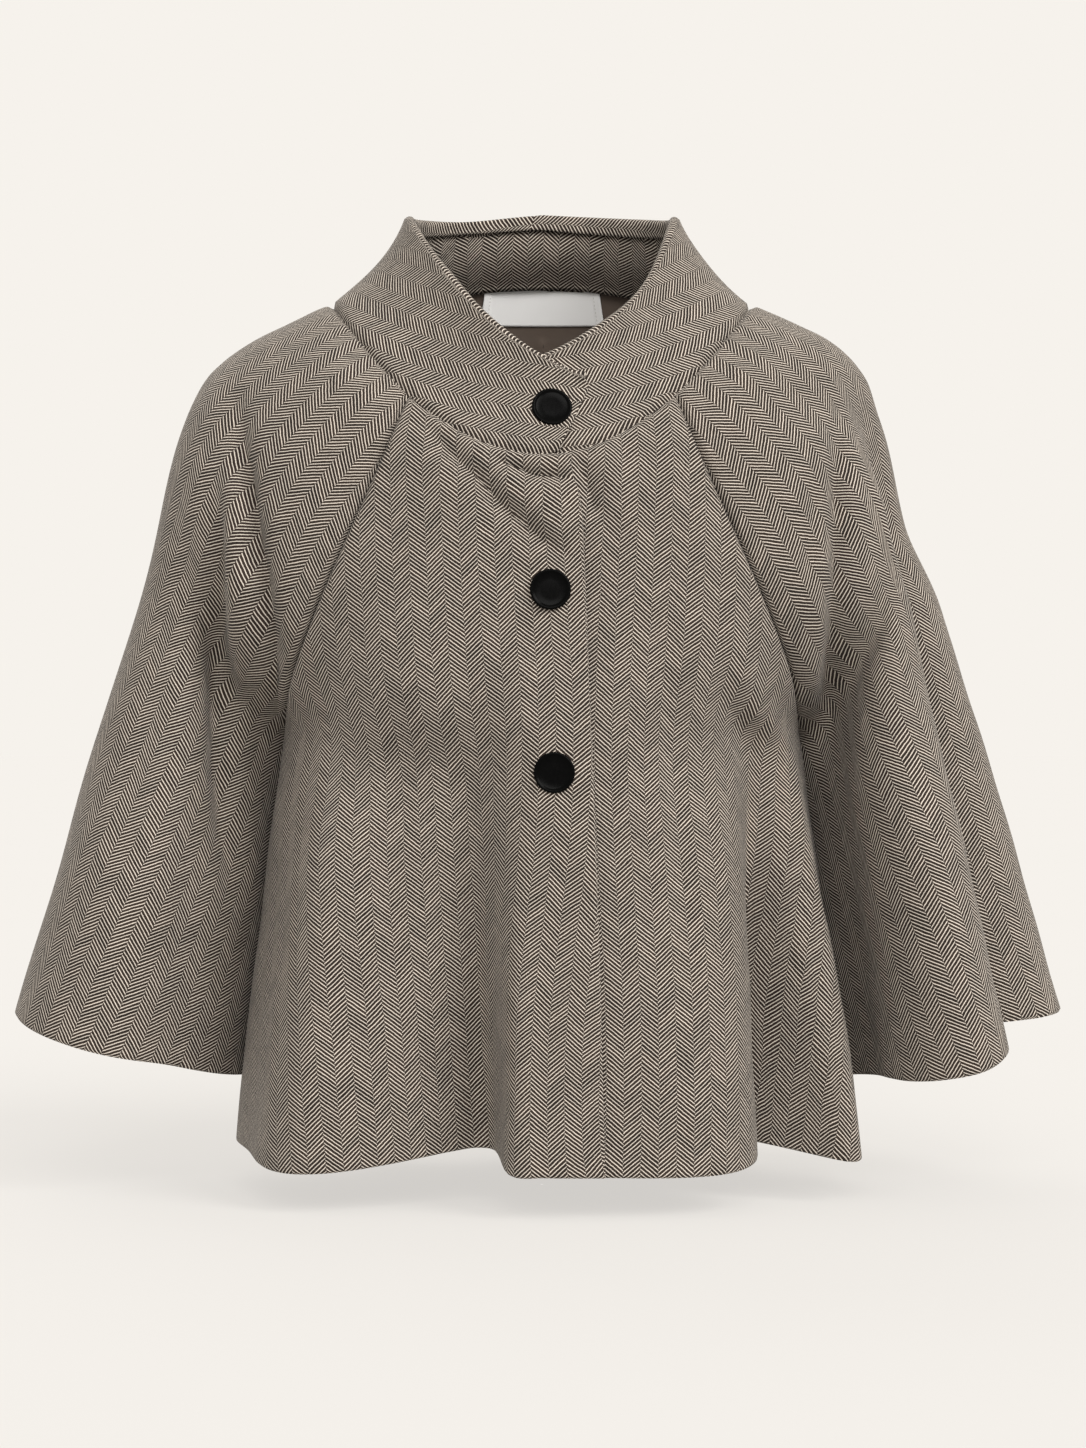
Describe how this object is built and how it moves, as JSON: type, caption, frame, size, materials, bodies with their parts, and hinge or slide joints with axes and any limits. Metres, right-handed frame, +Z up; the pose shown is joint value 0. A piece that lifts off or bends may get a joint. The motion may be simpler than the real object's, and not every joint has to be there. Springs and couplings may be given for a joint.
{
  "type": "cape",
  "caption": "Short raglan cape jacket in herringbone wool with a funnel collar, bell sleeves and a lapped buttoned front, standing hollow as if worn.",
  "frame": {"origin": "middle of the neck at shoulder height, where the wearer's shoulders carry the cape", "axes": "+X towards the wearer's left, +Y towards the back, +Z up"},
  "size_m": [0.7263, 0.3276, 0.6559],
  "materials": {
    "wool": "brown and beige herringbone wool coating, soft and slightly hairy",
    "satin": "brown satin lining with a soft sheen",
    "label": "white woven label, bare",
    "button": "glossy black, dished with a thin rim"
  },
  "bodies": {
    "root": {"front_right": "wool", "front_left": "wool", "back": "wool", "sleeve_right": "wool", "sleeve_left": "wool", "collar": "wool", "collar_facing": "wool", "back_lining": "satin", "label": "label", "button_top": "button", "button_middle": "button", "button_bottom": "button"}
  },
  "joints": []
}
